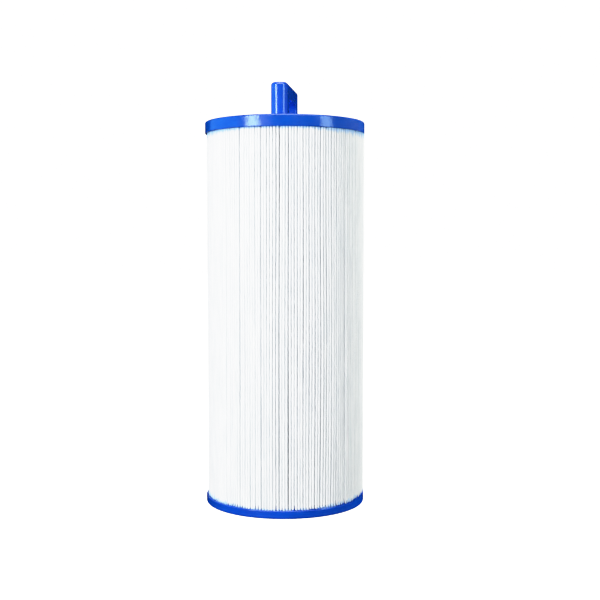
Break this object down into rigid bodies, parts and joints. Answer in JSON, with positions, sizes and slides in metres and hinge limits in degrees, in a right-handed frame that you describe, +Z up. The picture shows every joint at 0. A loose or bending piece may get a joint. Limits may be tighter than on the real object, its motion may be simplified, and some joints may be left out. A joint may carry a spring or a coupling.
{
  "type": "pleated spa filter cartridge",
  "caption": "Pleated cylindrical spa filter cartridge with cast end caps, a rigid carrying handle on its closed end and a round slip-fit outlet at the other.",
  "frame": {"origin": "centre of the lower end cap's flat underside, on the cartridge's axis", "axes": "+Z up along the cartridge's axis towards the handle; the handle's arch runs along Y, so -Y and +Y face its narrow ends"},
  "size_m": [0.1254, 0.1254, 0.3271],
  "materials": {
    "cap_blue": "satin",
    "handle_blue": "gloss",
    "media_white": "matte",
    "core_white": "satin",
    "seal_grey": "matte"
  },
  "bodies": {
    "root": {"top_end_cap": "cap_blue", "bottom_end_cap": "cap_blue", "handle": "handle_blue", "pleated_media": "media_white", "core_lower": "core_white", "core_upper": "core_white", "core_plug": "core_white", "outlet_collar": "core_white", "outlet_seal": "seal_grey"}
  },
  "joints": []
}
